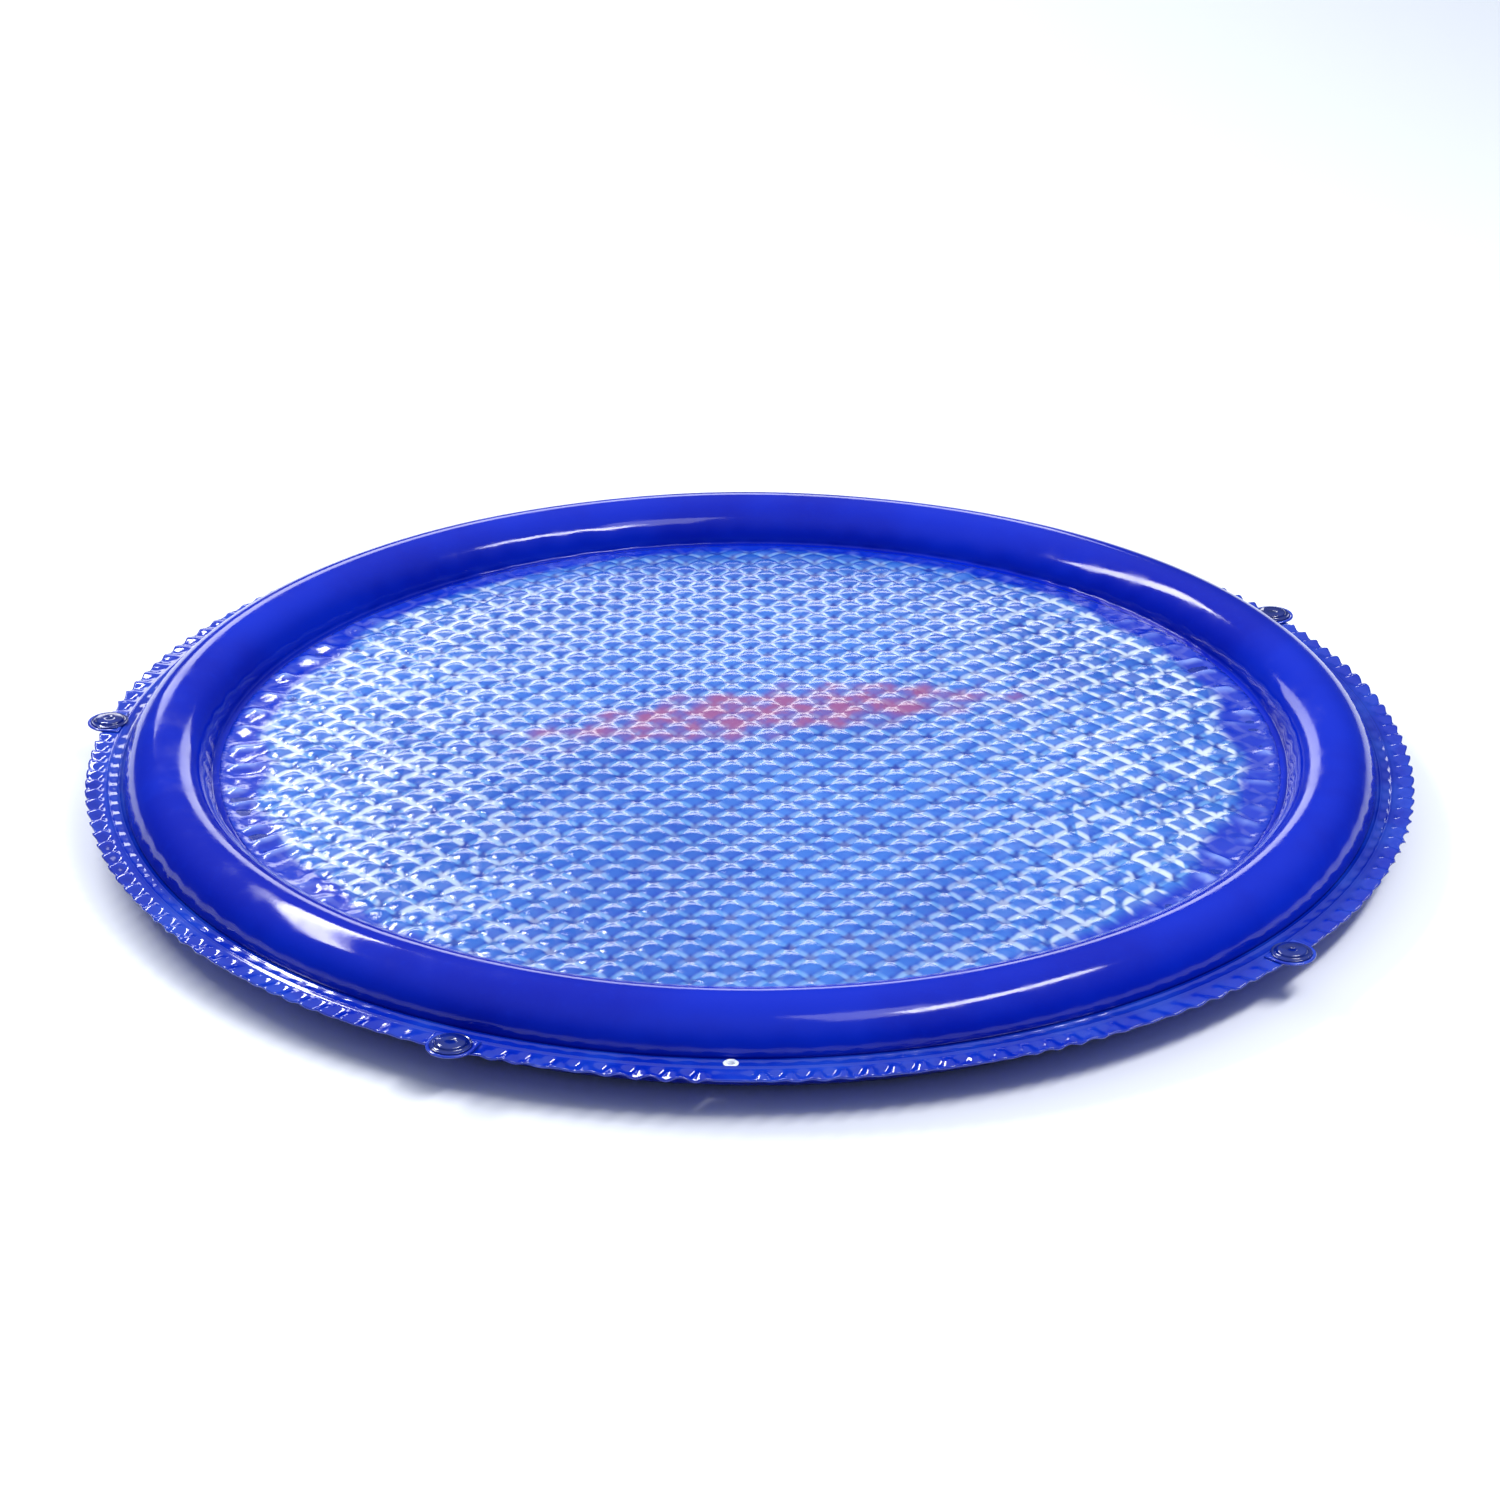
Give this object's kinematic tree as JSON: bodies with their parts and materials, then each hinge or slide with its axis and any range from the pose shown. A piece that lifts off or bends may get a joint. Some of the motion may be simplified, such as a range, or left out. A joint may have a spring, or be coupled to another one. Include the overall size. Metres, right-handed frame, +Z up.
{
  "type": "floating solar pool heating ring",
  "caption": "Round inflatable ring with a blue air tube rim, a quilted clear lens film over a blue absorber film, a puckered skirt with magnet tabs and two capped valves.",
  "frame": {"origin": "on the ring's vertical axis, at the level of the surface that the tube rests on", "axes": "+Z up along the ring's axis, -Y is the front, where the tether eyelet is, +X to the right"},
  "size_m": [1.5406, 1.5257, 0.0992],
  "materials": {
    "rim_vinyl": "gloss royal blue vinyl film",
    "lens_vinyl": "clear blue embossed vinyl film",
    "absorber_vinyl": "blue vinyl film",
    "hem_vinyl": "gloss blue vinyl film, puckered",
    "pocket_vinyl": "blue vinyl film",
    "tab_vinyl": "gloss blue vinyl film",
    "cover_vinyl": "clear blue vinyl film",
    "magnet_iron": "sintered ferrite",
    "eyelet_plastic": "clear white plastic",
    "valve_plastic": "clear soft plastic",
    "flap_rubber": "clear soft rubber"
  },
  "bodies": {
    "ring": {"rim_tube_upper": "rim_vinyl", "rim_tube_lower": "rim_vinyl", "lens_film": "lens_vinyl", "absorber_film": "absorber_vinyl", "skirt_hem": "hem_vinyl", "eyelet_barrel": "eyelet_plastic", "eyelet_washer": "eyelet_plastic", "anchor_pocket_1": "pocket_vinyl", "anchor_pocket_2": "pocket_vinyl", "anchor_pocket_3": "pocket_vinyl", "anchor_pocket_4": "pocket_vinyl", "magnet_tab_1": "tab_vinyl", "magnet_1": "magnet_iron", "magnet_cover_1": "cover_vinyl", "magnet_tab_2": "tab_vinyl", "magnet_2": "magnet_iron", "magnet_cover_2": "cover_vinyl", "magnet_tab_3": "tab_vinyl", "magnet_3": "magnet_iron", "magnet_cover_3": "cover_vinyl", "magnet_tab_4": "tab_vinyl", "magnet_4": "magnet_iron", "magnet_cover_4": "cover_vinyl", "magnet_tab_5": "tab_vinyl", "magnet_5": "magnet_iron", "magnet_cover_5": "cover_vinyl", "rim_valve_collar": "valve_plastic", "chamber_valve_collar": "valve_plastic"},
    "rim_stem": {"rim_valve_stem": "valve_plastic"},
    "rim_cap": {"rim_valve_cap": "valve_plastic"},
    "rim_flap": {"rim_valve_flap": "flap_rubber"},
    "chamber_stem": {"chamber_valve_stem": "valve_plastic"},
    "chamber_cap": {"chamber_valve_cap": "valve_plastic"},
    "chamber_flap": {"chamber_valve_flap": "flap_rubber"}
  },
  "joints": [
    {"name": "rim_stem_slide", "type": "slide", "parent": "ring", "child": "rim_stem", "axis": [-0.0308, 0.8824, 0.4695], "range_m": [0, 0.009]},
    {"name": "rim_cap_hinge", "type": "hinge", "parent": "rim_stem", "child": "rim_cap", "pos_m": [-0.03705, 0.71722, 0.07492], "axis": [0.0164, -0.4692, 0.8829], "range_deg": [0, 140]},
    {"name": "rim_flap_hinge", "type": "hinge", "parent": "rim_stem", "child": "rim_flap", "pos_m": [-0.01759, 0.69868, 0.06471], "axis": [0.0164, -0.4692, 0.8829], "range_deg": [0, 45], "stiffness_Nm_per_rad": 0.001},
    {"name": "chamber_stem_slide", "type": "slide", "parent": "ring", "child": "chamber_stem", "axis": [0, 0, -1], "range_m": [0, 0.009]},
    {"name": "chamber_cap_hinge", "type": "hinge", "parent": "chamber_stem", "child": "chamber_cap", "pos_m": [-0.1216, -0.17366, 0.02508], "axis": [-0.8192, 0.5736, 0], "range_deg": [0, 140]},
    {"name": "chamber_flap_hinge", "type": "hinge", "parent": "chamber_stem", "child": "chamber_flap", "pos_m": [-0.11081, -0.15826, 0.04683], "axis": [-0.8192, 0.5736, 0], "range_deg": [0, 45], "stiffness_Nm_per_rad": 0.001}
  ]
}
